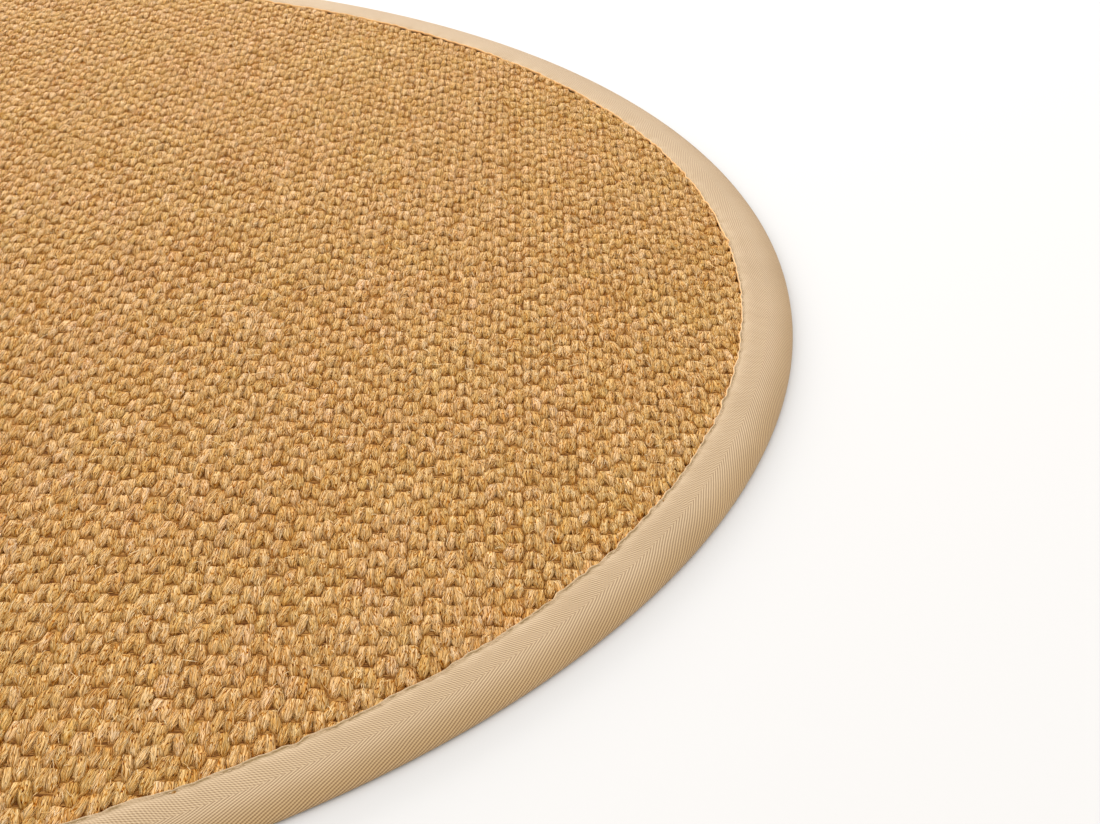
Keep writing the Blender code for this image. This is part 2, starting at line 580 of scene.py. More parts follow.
def shaped_yarns(layout):
    """The corners of every yarn, copies x corners x 3."""
    angle, along = around_and_along(hump_corners)
    reach = np.abs(along)
    plan = np.where(along < 0, NEAR_PLAN, FAR_PLAN)
    fullness = (1 - reach ** plan).clip(0) ** (1 / plan)
    profile = (1 - reach ** BARREL_POWER).clip(0) ** (1 / BARREL_POWER)

    lines = np.round(np.degrees(angle)).astype(int)
    names, line_of = np.unique(lines, return_inverse=True)
    yarns = len(layout["x"])
    swelling = 1 + wander((yarns, len(names)), RIDGE)[:, line_of]
    swelling = swelling + wander((yarns, len(angle)), LUMP)
    sideways = squarer(np.cos(angle)) * fullness * swelling
    upwards = np.maximum(squarer(np.sin(angle)), LOWEST_CORNER) * profile * swelling

    fuller = 1 + FULL_OUTSIDE * layout["side"][:, None] * np.sign(sideways)
    across = fuller * layout["width"][:, None] * sideways + layout["bow"][:, None] * (1 - along ** 2)
    forward = layout["length"][:, None] * along
    cosine, sine = np.cos(layout["turn"])[:, None], np.sin(layout["turn"])[:, None]
    x = layout["x"][:, None] + across * cosine - forward * sine
    y = layout["y"][:, None] + across * sine + forward * cosine
    z = layout["z"][:, None] + YARN_HALF_HEIGHT * upwards - end_drop(along)
    return np.stack([x, y, z], axis=2)


yarns = shaped_yarns(layout)
print(len(yarns), "yarns shaped, highest corner at", round(1000 * yarns[:, :, 2].max(), 2), "mm")

# %% [markdown]
# ## The tape's upper face
# The tape's upper face is not flat. At its sewn edge it is a rolled lip, pressed down between the humps;
# next to the lip the stitches pull it into a groove; then it swells, lies flat and turns round the rim.
# One function gives its height, and the same function later presses the yarns down under the tape.

# %% Describe the tape's upper face
TAPE_THICKNESS = 0.0010
STITCH_LINE = 0.0018
TAPE_HEIGHTS = {
    0.0: 0.0083,
    0.0005: 0.0090,
    0.0011: 0.0088,
    0.0018: 0.0082,
    0.0030: 0.0085,
    0.0048: 0.0088,
    0.0070: 0.0089,
    0.0105: 0.0090,
    0.0190: 0.0089,
}
WAVES_ADDED = 24
SHORT_WAVER = 0.00035
LONG_WAVER = 0.0003


def tape_top(across):
    """The height of the tape's upper face at a distance from its sewn edge."""
    return np.interp(across, list(TAPE_HEIGHTS), list(TAPE_HEIGHTS.values()))


def ring_noise(angle, waves, seed):
    """A smooth random value, about one in size, that closes on itself round the rim."""
    draw = np.random.default_rng(seed)
    counts = draw.integers(int(0.5 * waves), int(1.5 * waves), WAVES_ADDED)
    starts = draw.uniform(0, 2 * math.pi, WAVES_ADDED)
    total = sum(np.sin(count * angle + start) for count, start in zip(counts, starts))
    return total / math.sqrt(WAVES_ADDED / 2)


def sewn_edge(angle):
    """The radius of the tape's sewn edge, which wavers a little."""
    return SEAM + SHORT_WAVER * ring_noise(angle, 280, 3) + LONG_WAVER * ring_noise(angle, 60, 4)


print("tape is", round(1000 * (RIM - SEAM), 1), "mm wide on top")

# %% [markdown]
# ## Under the tape
# The tape grips the weave, so yarns near the seam are squeezed. Any corner that would stand higher than the
# tape's lower face is brought down to it, and the limit climbs steeply away from the seam.

# %% Press the yarns under the tape
PRESS_SLOPE = 1.2
PRESS_CLEARANCE = 0.0001

radius = np.hypot(yarns[:, :, 0], yarns[:, :, 1])
bearing = np.arctan2(yarns[:, :, 1], yarns[:, :, 0])
past_seam = radius - sewn_edge(bearing)
under_face = tape_top(past_seam.clip(0)) - TAPE_THICKNESS - PRESS_CLEARANCE
limit = np.where(past_seam > 0, under_face, under_face - PRESS_SLOPE * past_seam)
pressed = yarns[:, :, 2] > limit
yarns[:, :, 2] = np.minimum(yarns[:, :, 2], limit)
print(int(pressed.any(axis=1).sum()), "yarns are pressed by the tape")

# %% [markdown]
# ## Joining the yarns
# A mesh of more than 200,000 triangles is unwieldy, so the yarns are shared out over strips of columns.
# Each yarn gets a UV map in metres, along and around, and a tint: red picks its slice of the fibre noise,
# green its lightness and blue the slant of its twist.

# %% Build the woven strips
STRIPS = 6
UV_GIRTH = 1.15
TWIST_RANGE = (-0.09, 0.06)


def yarn_uvs(layout):
    """UVs in metres for the corner of every face of every yarn: along the yarn, and around it."""
    angle, along = around_and_along(hump_corners)
    turns = []
    for face in hump_faces:
        middle = np.arctan2(np.sin(angle[face]).mean(), np.cos(angle[face]).mean())
        for corner in face:
            pole = abs(along[corner]) > 0.99
            turned = middle if pole else angle[corner]
            turns.append(middle + (turned - middle + math.pi) % (2 * math.pi) - math.pi)
    loops = [corner for face in hump_faces for corner in face]
    lengthwise = layout["length"][:, None] * along[loops][None, :]
    around = UV_GIRTH * layout["width"][:, None] * np.array(turns)[None, :]
    return np.stack([lengthwise, around], axis=2)


def yarn_tints(count):
    """Each yarn's slice of noise, lightness and twist."""
    slices = chance.uniform(0, 1, count)
    light = np.clip(chance.normal(0.5, 0.2, count), 0, 1)
    twist = chance.uniform(*TWIST_RANGE, count)
    return np.stack([slices, light, twist, np.ones(count)], axis=1)


uvs = yarn_uvs(layout)
tints = yarn_tints(len(yarns))
strip_of = np.floor((layout["x"] / RIM + 1) / 2 * STRIPS).clip(0, STRIPS - 1).astype(int)
weave = []
for strip in range(STRIPS):
    chosen = strip_of == strip
    name = f"woven_humps_{strip + 1}"
    mesh = joined_mesh(name, yarns[chosen], hump_faces, uvs[chosen], tints[chosen])
    weave.append(link_piece(name, mesh, sisal))
triangles = sum(len(face.vertices) - 2 for piece in weave for face in piece.data.polygons)
print(STRIPS, "strips,", triangles, "triangles in all")

# %% [markdown]
# ## Stray fibres
# Sisal is never tidy: thousands of fibres work loose, cross the humps and catch the light. One is a thin
# sphere of three sides, drawn out along a curve of three control points. Its first end starts inside a
# yarn, its middle is lifted a little, and its other end dips back or stands free.

# %% Scatter the stray fibres
STRAYS = 16500
STRAY_RADIUS = 0.00019
STRAY_LENGTHS = (0.0020, 0.0040, 0.0120)
STRAY_MARGIN = 0.003
STRAY_ROOT = 0.0003
STRAY_TURN = math.radians(32)
STRAY_BEND = 0.14
STRAY_LIFT = (-0.0002, 0.0016)
NEAR_END = -0.7
NEAR_END_SHARE = 0.6
DIPPING_SHARE = 0.6
DIP = 0.0016
FREE_END = (-0.0004, 0.0012)
STRAY_COLOURS = [
    (0.0, (0.34, 0.14, 0.03)),
    (0.2, (0.66, 0.36, 0.11)),
    (0.6, (0.84, 0.56, 0.24)),
    (1.0, (0.92, 0.74, 0.44)),
]


def stray_finish(name):
    """Single fibres, from brown to pale straw, one colour for each."""
    finish = Finish(name)
    tint = finish.node("ShaderNodeAttribute", attribute_name="tint")
    own = finish.node("ShaderNodeSeparateColor", {"Color": tint.outputs["Color"]}).outputs
    colour = finish.ramp(own["Red"], STRAY_COLOURS)
    finish.wire(Base_Color=colour, Roughness=0.5, Specular_IOR_Level=0.3)
    return finish.material


def stray_starts(count):
    """A random point on the skin of a random yarn for every stray fibre, just below the surface."""
    chosen = chance.integers(0, len(layout["x"]), count)
    yarn = {key: values[chosen] for key, values in layout.items()}
    at_near_end = chance.uniform(0, 1, count) < NEAR_END_SHARE
    along = np.where(at_near_end, NEAR_END, 0.0) + chance.normal(0, 0.28, count)
    along = np.clip(along, -0.95, 0.95)
    side = chance.uniform(-0.95, 0.95, count)
    profile = (1 - np.abs(along) ** BARREL_POWER) ** (1 / BARREL_POWER)
    rise = YARN_HALF_HEIGHT * np.sqrt(1 - side ** 2) * profile - end_drop(along)
    x = yarn["x"] + yarn["width"] * side * profile
    y = yarn["y"] + yarn["length"] * along
    z = yarn["z"] + rise - STRAY_ROOT
    return np.stack([x, y, z], axis=1)


def stray_paths(count):
    """Three control points for every stray fibre, each count x 3, and its sideways direction."""
    start = stray_starts(count)
    length = chance.triangular(*STRAY_LENGTHS, count)
    heading = chance.choice([-1, 1], count) * math.pi / 2 + chance.normal(0, STRAY_TURN, count)
    ahead = np.stack([np.cos(heading), np.sin(heading), np.zeros(count)], axis=1)
    aside = np.stack([-np.sin(heading), np.cos(heading), np.zeros(count)], axis=1)
    end = start + length[:, None] * ahead
    dips = chance.uniform(0, 1, count) < DIPPING_SHARE
    end[:, 2] = HEIGHT + np.where(dips, -DIP, chance.uniform(*FREE_END, count))
    middle = 0.5 * (start + end) + (chance.normal(0, STRAY_BEND, count) * length)[:, None] * aside
    middle[:, 2] = HEIGHT + chance.uniform(*STRAY_LIFT, count)
    inside = np.maximum(np.hypot(*start.T[:2]), np.hypot(*end.T[:2])) < SEAM - STRAY_MARGIN
    return start[inside], middle[inside], end[inside], aside[inside]


def swept_strays(start, middle, end, aside):
    """The prototype's corners drawn out along every path."""
    travel = (0.5 + 0.5 * stray_corners[:, 1])[None, :, None]
    spine = (
        (1 - travel) ** 2 * start[:, None]
        + 2 * travel * (1 - travel) * middle[:, None]
        + travel ** 2 * end[:, None]
    )
    sideways = STRAY_RADIUS * stray_corners[:, 0][None, :, None] * aside[:, None]
    upwards = np.zeros_like(spine)
    upwards[:, :, 2] = STRAY_RADIUS * stray_corners[:, 2]
    return spine + sideways + upwards


stray_shape = bmesh.new()
bmesh.ops.create_uvsphere(stray_shape, u_segments=3, v_segments=3, radius=1.0)
bmesh.ops.rotate(stray_shape, verts=stray_shape.verts, matrix=Matrix.Rotation(math.radians(90), 3, "X"))
stray_corners, stray_faces = prototype_arrays(stray_shape)
strays = swept_strays(*stray_paths(STRAYS))
stray_tints = np.repeat(chance.uniform(0, 1, (len(strays), 1)), 4, axis=1)
stray_mesh = joined_mesh("stray_fibres", strays, stray_faces, None, stray_tints)
stray_fibres = link_piece("stray_fibres", stray_mesh, stray_finish("loose_fibre"))
print(len(strays), "stray fibres, highest at", round(1000 * strays[:, :, 2].max(), 2), "mm")

# %% [markdown]
# ## Turning a section
# Both cloths are round, so both are made as on a lathe: a section is drawn once and turned round the axis.
# A flat disc and a bent ribbon would do too, but then their edges would have to be matched by hand. A
# section that ends on the axis closes itself, once the doubled corners there are merged.

# %% Define the turning helpers
def full_turn(shape, geometry, steps):
    """Spins a section once round Z and joins its end to its start."""
    bmesh.ops.spin(
        shape, geom=geometry, cent=(0, 0, 0), axis=(0, 0, 1), angle=2 * math.pi, steps=steps, use_merge=True
    )


def spun_section(points, steps):
    """A section of (radius, height) points that starts and ends on the axis, turned into a closed disc."""
    shape = bmesh.new()
    corners = [shape.verts.new((radius, 0.0, height)) for radius, height in points]
    edges = [shape.edges.new(pair) for pair in zip(corners, corners[1:])]
    full_turn(shape, corners + edges, steps)
    bmesh.ops.remove_doubles(shape, verts=shape.verts, dist=1e-6)
    bmesh.ops.recalc_face_normals(shape, faces=shape.faces)
    return shape


print("a section is turned round", (0, 0, 1), "by", round(math.degrees(2 * math.pi)), "degrees")

# %% [markdown]
# ## The cloth's foot
# Between the humps one looks down on the cross yarns and the foot of the cloth, coloured brown as painted
# shade. A closed disc stands for them: its section, drawn from the middle outwards and back, is spun
# about the axis.
# Near the rim its top sinks and its underside lifts, so that it fits inside the folded tape, and elsewhere
# it lies on the floor. Real cross yarns could be modelled too, but so little of them shows that a ribbed
# bump is enough.

# %% Make the ground cloth
GROUND_TOP = 0.0066
GROUND_GRIPPED = 0.0056
GROUND_LIFT = 0.0015
GROUND_STEPS = 180
CROSS_YARN = 0.5 * HUMP_PITCH
PAINTED_SHADE_COLOURS = [(0.1, (0.12, 0.040, 0.008)), (0.5, (0.30, 0.13, 0.03)), (0.9, (0.52, 0.27, 0.075))]


def ground_finish(name):
    """Cross yarns darkened with painted shade: the same fibres, lying the other way."""
    finish = Finish(name)
    place = finish.node("ShaderNodeTexCoord").outputs["Object"]
    axis = finish.node("ShaderNodeSeparateXYZ", {"Vector": place}).outputs
    fibre, slit = fibre_cells(finish, axis["X"], axis["Y"], 0.0, FIBRE_LENGTH, FIBRE_WIDTH)
    ribs = finish.math("SINE", finish.math("MULTIPLY", axis["Y"], 2 * math.pi / CROSS_YARN))
    # Painted shade: the cross yarns are coloured dark brown.
    colour = finish.ramp(fibre["Red"], PAINTED_SHADE_COLOURS)
    relief = finish.math("MULTIPLY_ADD", ribs, 1.5, slit)
    bump = finish.node("ShaderNodeBump", {"Height": relief, "Strength": 1.0, "Distance": 0.0005})
    finish.wire(Base_Color=colour, Roughness=0.8, Specular_IOR_Level=0.1, Normal=bump.outputs[0])
    return finish.material


ground_section = [
    (0.0, GROUND_TOP),
    (SEAM - 0.006, GROUND_TOP),
    (SEAM, GROUND_GRIPPED),
    (CLOTH_EDGE - 0.008, GROUND_GRIPPED),
    (CLOTH_EDGE - 0.002, 0.0040),
    (CLOTH_EDGE - 0.001, 0.0030),
    (CLOTH_EDGE - 0.002, GROUND_LIFT),
    (SEAM - 0.001, GROUND_LIFT),
    (SEAM - 0.002, 0.0),
    (0.0, 0.0),
]
ground_shape = spun_section(ground_section, GROUND_STEPS)
ground_mesh = bpy.data.meshes.new("ground_cloth")
ground_shape.to_mesh(ground_mesh)
ground_shape.free()
ground = link_piece("ground_cloth", ground_mesh, ground_finish("cross_yarn"))
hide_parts("sisal_field")
print("ground cloth has", len(ground.data.polygons), "faces")

# %% [markdown]
# ## The twill lines of the tape
# The binding is a herringbone twill: fine slanting ridges that change direction along a spine. The
# pattern follows the tape, so it is read from a UV map in metres, along and across. Outside the spine the
# ridges lean low along the tape, inside it they stand steep, where the tape is eased round the curve. A
# ridge is the square of a sine, and where two sets cross, the sum of both gives the small floats of cotton.

# %% Define the twill lines
SPINE = 0.0172
SPINE_HALF_WIDTH = 0.0003
OUTER_GRATINGS = [(-21, 0.00134, 0.80), (61, 0.00114, 0.20)]
INNER_GRATINGS = [(75, 0.00156, 0.45), (22, 0.00138, 0.55)]
OUTER_PULL = (45.0, 0.0012)
INNER_PULL = (60.0, 0.0022)
MEAN_RIDGE = 0.55
WORN_ENDS = 0.0090
WORN_TWILL = 0.3


def pulled_directions(finish, uv, axis, scale, shift):
    """The tape's two directions, pulled a little out of true as worn cloth is."""
    pulled = finish.node("ShaderNodeTexNoise", {"Vector": uv, "Scale": scale, "Detail": 1.0}).outputs["Color"]
    pull = finish.node("ShaderNodeSeparateColor", {"Color": pulled}).outputs
    along = finish.math("MULTIPLY_ADD", finish.math("SUBTRACT", pull["Red"], 0.5), shift, axis["X"])
    across = finish.math("MULTIPLY_ADD", finish.math("SUBTRACT", pull["Green"], 0.5), shift, axis["Y"])
    return along, across


def gratings(finish, along, across, rows):
    """Rounded ridges, each row a lean in degrees, a pitch and a share of the height."""
    total = 0.0
    for lean, pitch, share in rows:
        lean = math.radians(lean)
        crosswise = finish.math("MULTIPLY", across, math.cos(lean))
        turned = finish.math("MULTIPLY_ADD", along, -math.sin(lean), crosswise)
        wave = finish.math("SINE", finish.math("MULTIPLY", turned, math.pi / pitch))
        total = finish.math("MULTIPLY_ADD", finish.math("MULTIPLY", wave, wave), share, total)
    return total


def twill_ridges(finish, uv, axis):
    """Both sides of the herringbone, worn smooth towards the seam."""
    outer = gratings(finish, *pulled_directions(finish, uv, axis, *OUTER_PULL), OUTER_GRATINGS)
    inner = gratings(finish, *pulled_directions(finish, uv, axis, *INNER_PULL), INNER_GRATINGS)
    side = finish.fade(axis["Y"], SPINE - SPINE_HALF_WIDTH, SPINE + SPINE_HALF_WIDTH)
    both = finish.node("ShaderNodeMix", {0: side, 2: inner, 3: outer}).outputs[0]
    wear = finish.fade(axis["Y"], STITCH_LINE, WORN_ENDS, WORN_TWILL, 1.0)
    return finish.math("MULTIPLY_ADD", finish.math("SUBTRACT", both, MEAN_RIDGE), wear, MEAN_RIDGE)


print(len(OUTER_GRATINGS) + len(INNER_GRATINGS), "sets of twill lines")

# %% [markdown]
# ## Light and shade painted on the tape
# The tape's colour carries painted light and shade. The puffs between the stitches are lightened in
# patches as painted light, the stitch groove is darkened in places as painted shade, the turned lip is
# lightened to a gold like the sisal beside it as painted light, and the nose, which turns down to the floor,
# is painted deeper and warmer as shade.

# %% Make the tape finish
COTTON_COLOURS = [(0.05, (0.215, 0.133, 0.065)), (0.50, (0.385, 0.264, 0.147)), (0.95, (0.525, 0.378, 0.228))]
# Painted shade: the nose darkens and warms towards the floor.
FACE_TINT = (1.02, 1.03, 1.03)
NOSE_SHADE_TINT = (0.89, 0.83, 0.69)
NOSE_STARTS = 0.0200
NOSE_ENDS = 0.0330
# Painted light: the puffs beside the seam are lightened in patches.
PUFF_LIGHT_TINT = (1.12, 1.15, 1.22)
PUFF_STARTS = 0.0026
PUFF_ENDS = 0.0110
PUFF_PATCHES = [(0.42, 0.2), (0.60, 1.0)]
CLOUDY_TINTS = [(0.3, (0.94, 0.93, 0.91)), (0.7, (1.0, 1.0, 1.0))]
# Painted shade: the stitch groove is darkened in broken dashes.
GROOVE_SHADE_TINT = (0.60, 0.56, 0.42)
GROOVE_EDGES = (0.0002, 0.0008)
GROOVE_BREAKS = [(0.44, 0.0), (0.54, 1.0)]
# Painted light: the turned lip is lightened to gold.
LIP_LIGHT_TINT = (1.75, 1.47, 1.02)
LIP_EDGES = (0.0006, 0.0010)
THREAD_SCALE = 2600.0


def partly_tinted(finish, share, colour, tint):
    """The colour, multiplied by a tint where share is one."""
    return finish.mix(share, colour, finish.tinted(colour, tint))


def tape_finish(name):
    """Herringbone cotton twill on the tape's own UV map, which is measured in metres."""
    finish = Finish(name)
    uv = finish.node("ShaderNodeUVMap", uv_map="yarn").outputs["UV"]
    axis = finish.node("ShaderNodeSeparateXYZ", {"Vector": uv}).outputs
    across = axis["Y"]
    threads = finish.math("SUBTRACT", finish.noise(uv, THREAD_SCALE, 1.0), 0.5)
    relief = finish.math("MULTIPLY_ADD", threads, 0.35, twill_ridges(finish, uv, axis))
    colour = finish.ramp(relief, COTTON_COLOURS)

    # Painted shade: the nose darkens and warms towards the floor.
    nose_shade = finish.fade(across, NOSE_STARTS, NOSE_ENDS)
    colour = finish.tinted(colour, finish.mix(nose_shade, FACE_TINT, NOSE_SHADE_TINT))
    # Painted light: the puffs beside the seam are lightened in patches.
    patches = finish.ramp(finish.noise(uv, 110.0, 1.0), PUFF_PATCHES)
    puff_light = finish.math("MULTIPLY", finish.fade(across, PUFF_STARTS, PUFF_ENDS, 1.0, 0.0), patches)
    colour = partly_tinted(finish, puff_light, colour, PUFF_LIGHT_TINT)
    place = finish.node("ShaderNodeTexCoord").outputs["Object"]
    colour = finish.tinted(colour, finish.ramp(finish.noise(place, 18.0, 3.0), CLOUDY_TINTS))
    # Painted shade: the stitch groove is darkened in broken dashes.
    from_stitches = finish.math("ABSOLUTE", finish.math("SUBTRACT", across, STITCH_LINE))
    breaks = finish.ramp(finish.noise(uv, 95.0, 1.0), GROOVE_BREAKS)
    groove_shade = finish.math("MULTIPLY", finish.fade(from_stitches, *GROOVE_EDGES, 1.0, 0.0), breaks)
    colour = partly_tinted(finish, groove_shade, colour, GROOVE_SHADE_TINT)
    # Painted light: the turned lip is lightened to gold.
    colour = partly_tinted(finish, finish.fade(across, *LIP_EDGES, 1.0, 0.0), colour, LIP_LIGHT_TINT)

    bump = finish.node("ShaderNodeBump", {"Height": relief, "Strength": 1.0, "Distance": 0.00025})
    finish.wire(Base_Color=colour, Roughness=0.75, Specular_IOR_Level=0.25, Sheen_Weight=0.1)
    finish.wire(Normal=bump.outputs[0])
    return finish.material


twill = tape_finish("herringbone_cotton")
print("made", twill.name)

# %% [markdown]
# ## The tape's whole section
# The tape runs from its sewn edge over the rim to the underside, and it has a real thickness, so its section
# is a closed outline: out along the outer face, back along the inner one. At the sewn edge the tape is
# turned down against the weave, as an ironed fold is, so no dark gap opens beside it. The nose over the
# rim is made of two quarter ovals, a large one above and a small tight one where it meets the floor.

# %% Draw the tape's section
NOSE_STEPS = 7
FOOT_STEPS = 3
NOSE_REACH = 0.0150
NOSE_FOOT = 0.0022
UNDER_REACH = 0.033
TURNED_EDGE = 0.0015
FACE_STEPS = [0.0, 0.0005, 0.0011, 0.0018, 0.0030, 0.0048, 0.0070, 0.0105, 0.0145]


def quarter_oval(edge, middle, half_width, half_height, turns):
    """Points of an oval that touches the radius edge, at these angles from its widest point."""
    centre = edge - half_width
    return [(centre + half_width * math.cos(turn), middle + half_height * math.sin(turn)) for turn in turns]


def tape_section():
    """The closed section, as (radius, height, reach), reach being measured along the tape from its lip."""
    top = float(tape_top(RIM - NOSE_REACH - SEAM))
    upper_turns = [0.5 * math.pi * (1 - step / NOSE_STEPS) for step in range(NOSE_STEPS)]
    lower_turns = [-0.5 * math.pi * step / FOOT_STEPS for step in range(FOOT_STEPS + 1)]
    outer = [(SEAM + step, float(tape_top(step))) for step in FACE_STEPS]
    outer += quarter_oval(RIM, NOSE_FOOT, NOSE_REACH, top - NOSE_FOOT, upper_turns)
    outer += quarter_oval(RIM, NOSE_FOOT, NOSE_FOOT, NOSE_FOOT, lower_turns)
    outer.append((RIM - UNDER_REACH, 0.0))
    wall = TAPE_THICKNESS
    inner = [(RIM - UNDER_REACH, wall), (RIM - NOSE_FOOT, wall)]
    inner += quarter_oval(RIM - wall, NOSE_FOOT, NOSE_REACH - wall, top - NOSE_FOOT - wall, (0.0, 0.7, 1.2))
    inner += [(SEAM + step, float(tape_top(step)) - wall) for step in (0.0190, 0.0048)]
    inner.append((SEAM + 0.0003, float(tape_top(0.0)) - TURNED_EDGE))
    reaches = [0.0]
    for (out_a, up_a), (out_b, up_b) in zip(outer, outer[1:]):
        reaches.append(reaches[-1] + math.hypot(out_b - out_a, up_b - up_a))
    reaches += [reaches[-1]] * (len(inner) - 1) + [-TURNED_EDGE]
    return [(out, up, reach) for (out, up), reach in zip(outer + inner, reaches)]


section = tape_section()
girth = max(reach for _, _, reach in section)
print(f"the tape's section has {len(section)} corners, and its outer face is {1000 * girth:.0f} mm round")

# %% [markdown]
# ## Puckers
# A straight tape can't follow a curve without gathering, so it puckers between the stitches, most beside
# the seam and less towards the rim. Each crease has its own place, depth, reach and slant, drawn at random
# about an even spacing, which keeps them from clumping. Cloth physics could gather it too, but slowly, and
# never in just the places that a seam gives.

# %% Define the puckers
PUCKER_SPACING = 0.0105
PUCKER_DEPTH = 0.0007
PUCKER_WIDTH = 0.0016
PUCKER_SHIFT = 0.38
UPPER_FACE = 0.0040
EDGE_FADE = 0.005
SWELL = 0.00020
SWELL_FADE = 0.012


def pucker_depths(angle, across):
    """How far each corner sinks in the creases that run out from the seam, one to each column or so."""
    count = int(2 * math.pi * SEAM / PUCKER_SPACING)
    draw = np.random.default_rng(7)
    places = (np.arange(count) + draw.uniform(-PUCKER_SHIFT, PUCKER_SHIFT, count)) * 2 * math.pi / count
    depths = PUCKER_DEPTH * draw.uniform(0.25, 1.0, count)
    reaches = draw.uniform(0.0030, 0.0075, count)
    slants = draw.normal(0, 0.25, count)
    nearest = np.round(angle / (2 * math.pi) * count).astype(int)
    total = np.zeros_like(angle)
    for offset in (-1, 0, 1):
        crease = (nearest + offset) % count
        gap = (angle - places[crease] + math.pi) % (2 * math.pi) - math.pi
        distance = gap * SEAM - slants[crease] * across
        narrow = np.exp(-(distance / PUCKER_WIDTH) ** 2)
        fading = np.exp(-(across / reaches[crease]) ** 2)
        total += depths[crease] * narrow * fading
    return total


def wrinkled(places):
    """The corners of the spun tape, moved: a wavering sewn edge and puckers that fade towards the rim."""
    radius = np.hypot(places[:, 0], places[:, 1])
    angle = np.arctan2(places[:, 1], places[:, 0])
    height = places[:, 2].copy()
    across = radius - SEAM
    upper = height > UPPER_FACE
    radius += (sewn_edge(angle) - SEAM) * np.exp(-across / EDGE_FADE) * upper
    height -= pucker_depths(angle, across) * upper
    height += SWELL * ring_noise(angle, 90, 12) * np.exp(-across / SWELL_FADE) * upper
    return np.stack([radius * np.cos(angle), radius * np.sin(angle), height], axis=1)


print(int(2 * math.pi * SEAM / PUCKER_SPACING), "puckers round the seam")

# %% [markdown]
# ## The tape itself
# The section is turned in many steps, fine enough for the puckers, and carries each corner's reach along
# in a layer of its own. The reach and the angle give the UV map in metres while the ring is still perfect,
# and only then are the corners moved, so the twill isn't stretched by the wrinkles.

# %% Spin and wrinkle the tape
TAPE_STEPS = 1600


def unrolled(mesh, reaches):
    """The tape's UVs in metres: along the rim, and the reach across, for every corner of every face."""
    places = vertex_places(mesh)
    corners = np.zeros(len(mesh.loops), int)
    mesh.loops.foreach_get("vertex_index", corners)
    angle = np.arctan2(places[corners, 1], places[corners, 0]).reshape(-1, 4)
    spread = angle.max(axis=1) - angle.min(axis=1)
    wraps = (spread > math.pi)[:, None] & (angle < 0)
    angle = np.where(wraps, angle + 2 * math.pi, angle)
    return np.stack([angle.ravel() * RIM, reaches[corners]], axis=1)


def vertex_places(mesh):
    """The corners of a mesh as an array."""
    places = np.zeros(3 * len(mesh.vertices))
    mesh.vertices.foreach_get("co", places)
    return places.reshape(-1, 3)


tape_shape = bmesh.new()
reach_layer = tape_shape.verts.layers.float.new("reach")
ring = [tape_shape.verts.new((out, 0.0, up)) for out, up, _ in section]
for corner, (_, _, reach) in zip(ring, section):
    corner[reach_layer] = reach
loop = [tape_shape.edges.new(pair) for pair in zip(ring, ring[1:] + ring[:1])]
full_turn(tape_shape, ring + loop, TAPE_STEPS)
bmesh.ops.recalc_face_normals(tape_shape, faces=tape_shape.faces)
reaches = np.array([vertex[reach_layer] for vertex in tape_shape.verts])
tape_mesh = bpy.data.meshes.new("herringbone_binding")
tape_shape.to_mesh(tape_mesh)
tape_shape.free()
tape_uvs = unrolled(tape_mesh, reaches)
tape_mesh.uv_layers.new(name="yarn").data.foreach_set("uv", tape_uvs.astype(np.float32).ravel())
tape_places = wrinkled(vertex_places(tape_mesh))
tape_mesh.vertices.foreach_set("co", tape_places.astype(np.float32).ravel())
tape_mesh.update()
tape = link_piece("herringbone_binding", tape_mesh, twill)
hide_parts("binding_tape")
print("tape has", len(tape.data.polygons), "faces")

# %% [markdown]
# ## The stitches
# A machine seam holds the tape down along its groove. A stitch is a short fat capsule of thread, its ends
# sunk in the cloth. One squeezed sphere is the prototype, and it is copied about nine hundred times.

# %% Sew the seam
STITCH_PITCH = 0.0039
STITCH_LENGTH = 0.0027
STITCH_SHIFT = 0.06
STITCH_STRETCH = (0.88, 1.08)
STITCH_SINK = 0.0003
THREAD_RADIUS = 0.00026
THREAD_RISE = 0.0001
PLY_PITCH = 0.0006
THREAD_COLOURS = [(0.0, (0.50, 0.35, 0.20)), (1.0, (0.70, 0.52, 0.33))]


def thread_finish(name):
    """Plain beige sewing thread with a fine ply."""
    finish = Finish(name)
    uv = finish.node("ShaderNodeUVMap", uv_map="yarn").outputs["UV"]
    axis = finish.node("ShaderNodeSeparateXYZ", {"Vector": uv}).outputs
    slanted = finish.math("ADD", axis["X"], axis["Y"])
    ply = finish.math("SINE", finish.math("MULTIPLY", slanted, 2 * math.pi / PLY_PITCH))
    colour = finish.ramp(finish.math("MULTIPLY_ADD", ply, 0.5, 0.5), THREAD_COLOURS)
    bump = finish.node("ShaderNodeBump", {"Height": ply, "Strength": 0.3, "Distance": 0.0001})
    finish.wire(Base_Color=colour, Roughness=0.7, Normal=bump.outputs[0])
    return finish.material


def sewn_stitches(corners, seam_radius, count):
    """Where the corners of every stitch lie, and how far along its stitch each of them is."""
    turns = (np.arange(count) + chance.uniform(-STITCH_SHIFT, STITCH_SHIFT, count)) * 2 * math.pi / count
    lengths = 0.5 * STITCH_LENGTH * chance.uniform(*STITCH_STRETCH, count)
    edge_shift = sewn_edge(turns) - SEAM
    lifts = -pucker_depths(turns, np.full(count, STITCH_LINE))
    along = lengths[:, None] * corners[:, 0][None, :]
    outwards = THREAD_RADIUS * corners[:, 1][None, :] + (seam_radius + 0.7 * edge_shift)[:, None]
    line = float(tape_top(STITCH_LINE)) + lifts + THREAD_RISE
    upwards = THREAD_RADIUS * corners[:, 2][None, :] + line[:, None]
    upwards = upwards - STITCH_SINK * corners[:, 0][None, :] ** 4
    x = outwards * np.cos(turns)[:, None] - along * np.sin(turns)[:, None]
    y = outwards * np.sin(turns)[:, None] + along * np.cos(turns)[:, None]
    return np.stack([x, y, upwards], axis=2), along


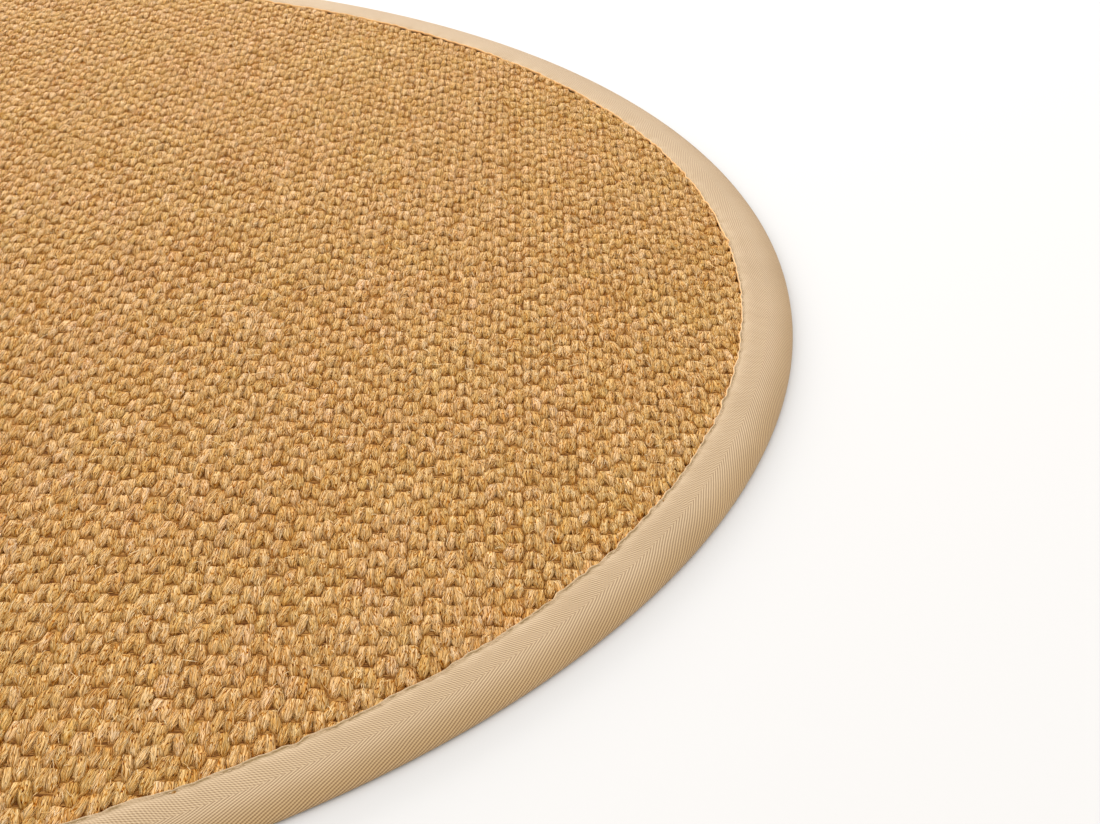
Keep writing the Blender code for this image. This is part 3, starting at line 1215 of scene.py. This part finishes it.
stitch_shape = bmesh.new()
bmesh.ops.create_uvsphere(stitch_shape, u_segments=4, v_segments=4, radius=1.0)
bmesh.ops.rotate(stitch_shape, verts=stitch_shape.verts, matrix=Matrix.Rotation(math.radians(90), 3, "Y"))
stitch_corners, stitch_faces = prototype_arrays(stitch_shape)
seam_radius = SEAM + STITCH_LINE
stitches = int(2 * math.pi * seam_radius / STITCH_PITCH)
stitch_places, along_stitch = sewn_stitches(stitch_corners, seam_radius, stitches)
stitch_loops = [corner for face in stitch_faces for corner in face]
lengthwise = along_stitch[:, stitch_loops]
crosswise = np.broadcast_to(THREAD_RADIUS * stitch_corners[stitch_loops, 1], lengthwise.shape)
stitch_uvs = np.stack([lengthwise, crosswise], axis=2)
stitch_mesh = joined_mesh("seam_stitches", stitch_places, stitch_faces, stitch_uvs)
seam_stitches = link_piece("seam_stitches", stitch_mesh, thread_finish("sewing_thread"))
print(stitches, "stitches")

# %% [markdown]
# ## The two cloths
# The ground cloth is a round cut lying flat, and the woven humps lie on it. The tape is a long narrow
# strip, folded over the rim, and its stitches hold it down.

# %% [markdown]
# ## The floor
# The rug lies on a plain white floor, which is only a stage and no piece of the rug. It lies a hair below
# the rug, because two faces in one plane would flicker.

# %% Lay the floor
FLOOR_REACH = 12.0
FLOOR_DROP = 0.0002
FLOOR_COLOUR = (0.57, 0.563, 0.557, 1.0)

floor_shape = bmesh.new()
bmesh.ops.create_grid(floor_shape, x_segments=1, y_segments=1, size=FLOOR_REACH)
bmesh.ops.translate(floor_shape, verts=floor_shape.verts, vec=(0, 0, cad_low.z - FLOOR_DROP))
floor_mesh = bpy.data.meshes.new("studio_floor")
floor_shape.to_mesh(floor_mesh)
floor_shape.free()
floor = bpy.data.objects.new("studio_floor", floor_mesh)
bpy.context.scene.collection.objects.link(floor)
floor_paint = Finish("studio_white")
floor_paint.wire(Base_Color=FLOOR_COLOUR, Roughness=0.9)
floor_mesh.materials.append(floor_paint.material)
print("the floor lies", 1000 * FLOOR_DROP, "mm under the rug")

# %% [markdown]
# ## The light
# A wide soft light stands low behind the rug, a little to the left, so the humps are bright on top and
# dark at their near ends, and the thin rug throws a faint wide shadow towards the near side. An even pale
# world fills the rest. A sun would light it the same way, but its shadows would be too sharp.

# %% Light the rug
LIGHT_PLACE = (-0.75, 2.25, 0.70)
LIGHT_TARGET = (0.2, 0.0, 0.0)
LIGHT_SIZE = (2.6, 0.8)
LIGHT_POWER = 65
WORLD_COLOUR = (1.0, 0.985, 0.965, 1.0)
WORLD_STRENGTH = 1.55


def soft_light(name, place, target, size, power):
    """A rectangular area light that faces a target."""
    data = bpy.data.lights.new(name, "AREA")
    data.shape = "RECTANGLE"
    data.size, data.size_y = size
    data.energy = power
    light = bpy.data.objects.new(name, data)
    bpy.context.scene.collection.objects.link(light)
    light.location = place
    light.rotation_euler = (Vector(target) - Vector(place)).to_track_quat("-Z", "Y").to_euler()
    return light


soft_light("window_light", LIGHT_PLACE, LIGHT_TARGET, LIGHT_SIZE, LIGHT_POWER)
world = bpy.data.worlds.new("studio")
world.use_nodes = True
background = world.node_tree.nodes["Background"]
background.inputs["Color"].default_value = WORLD_COLOUR
background.inputs["Strength"].default_value = WORLD_STRENGTH
bpy.context.scene.world = world
print("lit by one window light of", LIGHT_POWER, "watts and a pale world")
